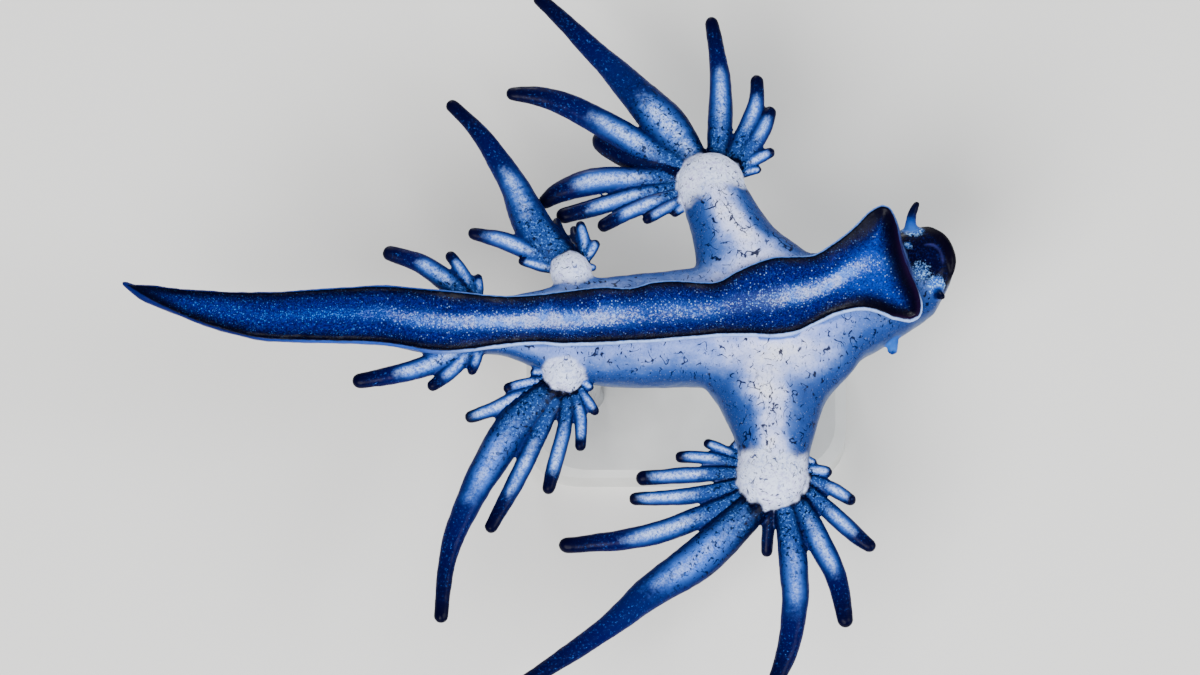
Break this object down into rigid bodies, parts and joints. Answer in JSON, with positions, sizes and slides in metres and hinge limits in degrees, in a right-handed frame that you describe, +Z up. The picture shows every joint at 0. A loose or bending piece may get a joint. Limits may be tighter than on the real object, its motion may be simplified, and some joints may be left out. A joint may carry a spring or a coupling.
{
  "type": "blue dragon sea slug",
  "caption": "Life-size still model of a blue dragon sea slug floating foot upward, with fans of finger-like cerata on side arms, held over a flat display base by thin rods.",
  "frame": {"origin": "centre of the underside of the stand's base", "axes": "+X toward the animal's head, +Y toward the animal's right side, +Z up, which is the side of its foot"},
  "size_m": [0.0402, 0.0366, 0.012],
  "materials": {
    "skin_foot": "wet, glossy deep blue with a speckled silver band",
    "skin_flank": "wet, glossy silver white to sky blue with fine dark dashes",
    "skin_cerata": "wet, glossy blue with pale stripe and dark tip",
    "stand_base": "matte",
    "stand_rod": "brushed"
  },
  "bodies": {
    "root": {"foot_front": "skin_foot", "foot_mid": "skin_foot", "foot_rear": "skin_foot", "tail_base": "skin_foot", "tail_mid": "skin_foot", "tail_tip": "skin_foot", "trunk_front": "skin_flank", "trunk_mid": "skin_flank", "trunk_rear": "skin_flank", "arm_front_left": "skin_flank", "arm_front_right": "skin_flank", "head": "skin_flank", "oral_tentacle_left": "skin_flank", "oral_tentacle_right": "skin_flank", "rhinophore_left": "skin_flank", "rhinophore_right": "skin_flank", "fan_front_left": "skin_cerata", "fan_front_right": "skin_cerata", "fan_middle_left": "skin_cerata", "fan_middle_right": "skin_cerata", "fan_rear_left": "skin_cerata", "fan_rear_right": "skin_cerata", "stand_base": "stand_base", "stand_rod_front": "stand_rod", "stand_rod_rear": "stand_rod"}
  },
  "joints": []
}
